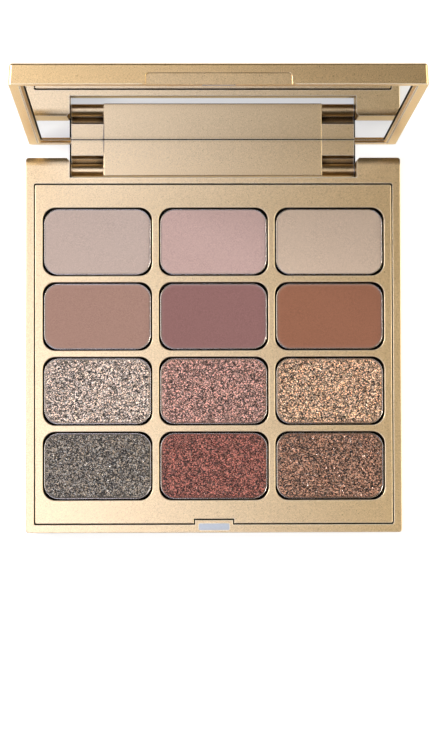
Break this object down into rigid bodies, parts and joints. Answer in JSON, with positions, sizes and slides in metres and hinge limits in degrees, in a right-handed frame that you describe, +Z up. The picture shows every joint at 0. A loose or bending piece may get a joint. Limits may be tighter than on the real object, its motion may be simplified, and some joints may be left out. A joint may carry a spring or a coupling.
{
  "type": "eyeshadow palette",
  "caption": "Square gold compact of pressed eyeshadow pans in a tray, with a mirrored lid on a wide hinge leg and a magnetic catch.",
  "frame": {"origin": "centre of the base underside, on the surface that the palette lies on", "axes": "+Z up; -Y the front, towards the user and the catch; +X to the right of somebody facing the front"},
  "size_m": [0.1, 0.1121, 0.0993],
  "materials": {
    "base_gold": "metallised plastic in a fine satin pale gold",
    "tray_gold": "metallised plastic in a fine satin pale gold",
    "lid_gold": "metallised plastic in a fine satin pale gold",
    "frame_gold": "metallised plastic in a fine satin pale gold",
    "leg_gold": "metallised plastic in a fine satin pale gold",
    "nickel_plate": "dull nickel plating",
    "pin_steel": "drawn steel wire",
    "pan_tinplate": "thin pressed tinplate",
    "tape_black": "black adhesive foam tape",
    "mirror_glass": "silvered flat glass",
    "powder_11": "matte light taupe powder",
    "powder_12": "matte pale mauve pink powder",
    "powder_13": "matte light beige powder",
    "powder_21": "matte rose brown powder",
    "powder_22": "matte plum mauve powder",
    "powder_23": "matte terracotta brown powder",
    "powder_31": "silver taupe shimmer powder",
    "powder_32": "rosy taupe shimmer powder",
    "powder_33": "champagne gold glitter powder",
    "powder_41": "charcoal glitter powder",
    "powder_42": "burgundy copper shimmer powder",
    "powder_43": "bronze brown glitter powder"
  },
  "bodies": {
    "base": {"base_shell": "base_gold", "pan_tray": "tray_gold", "catch_magnet": "nickel_plate", "hinge_pin_left": "pin_steel", "hinge_pin_right": "pin_steel", "pan_11": "pan_tinplate", "pan_12": "pan_tinplate", "pan_13": "pan_tinplate", "pan_21": "pan_tinplate", "pan_22": "pan_tinplate", "pan_23": "pan_tinplate", "pan_31": "pan_tinplate", "pan_32": "pan_tinplate", "pan_33": "pan_tinplate", "pan_41": "pan_tinplate", "pan_42": "pan_tinplate", "pan_43": "pan_tinplate", "powder_11": "powder_11", "powder_12": "powder_12", "powder_13": "powder_13", "powder_21": "powder_21", "powder_22": "powder_22", "powder_23": "powder_23", "powder_31": "powder_31", "powder_32": "powder_32", "powder_33": "powder_33", "powder_41": "powder_41", "powder_42": "powder_42", "powder_43": "powder_43"},
    "lid": {"lid_shell": "lid_gold", "mirror_frame": "frame_gold", "mirror_tape": "tape_black", "mirror": "mirror_glass", "catch_strike": "nickel_plate", "hinge_leg": "leg_gold"}
  },
  "joints": [
    {"name": "lid_hinge", "type": "hinge", "parent": "base", "child": "lid", "pos_m": [0, 0.04727, 0.00274], "axis": [-1, 0, 0], "range_deg": [-91.4, 0]}
  ]
}
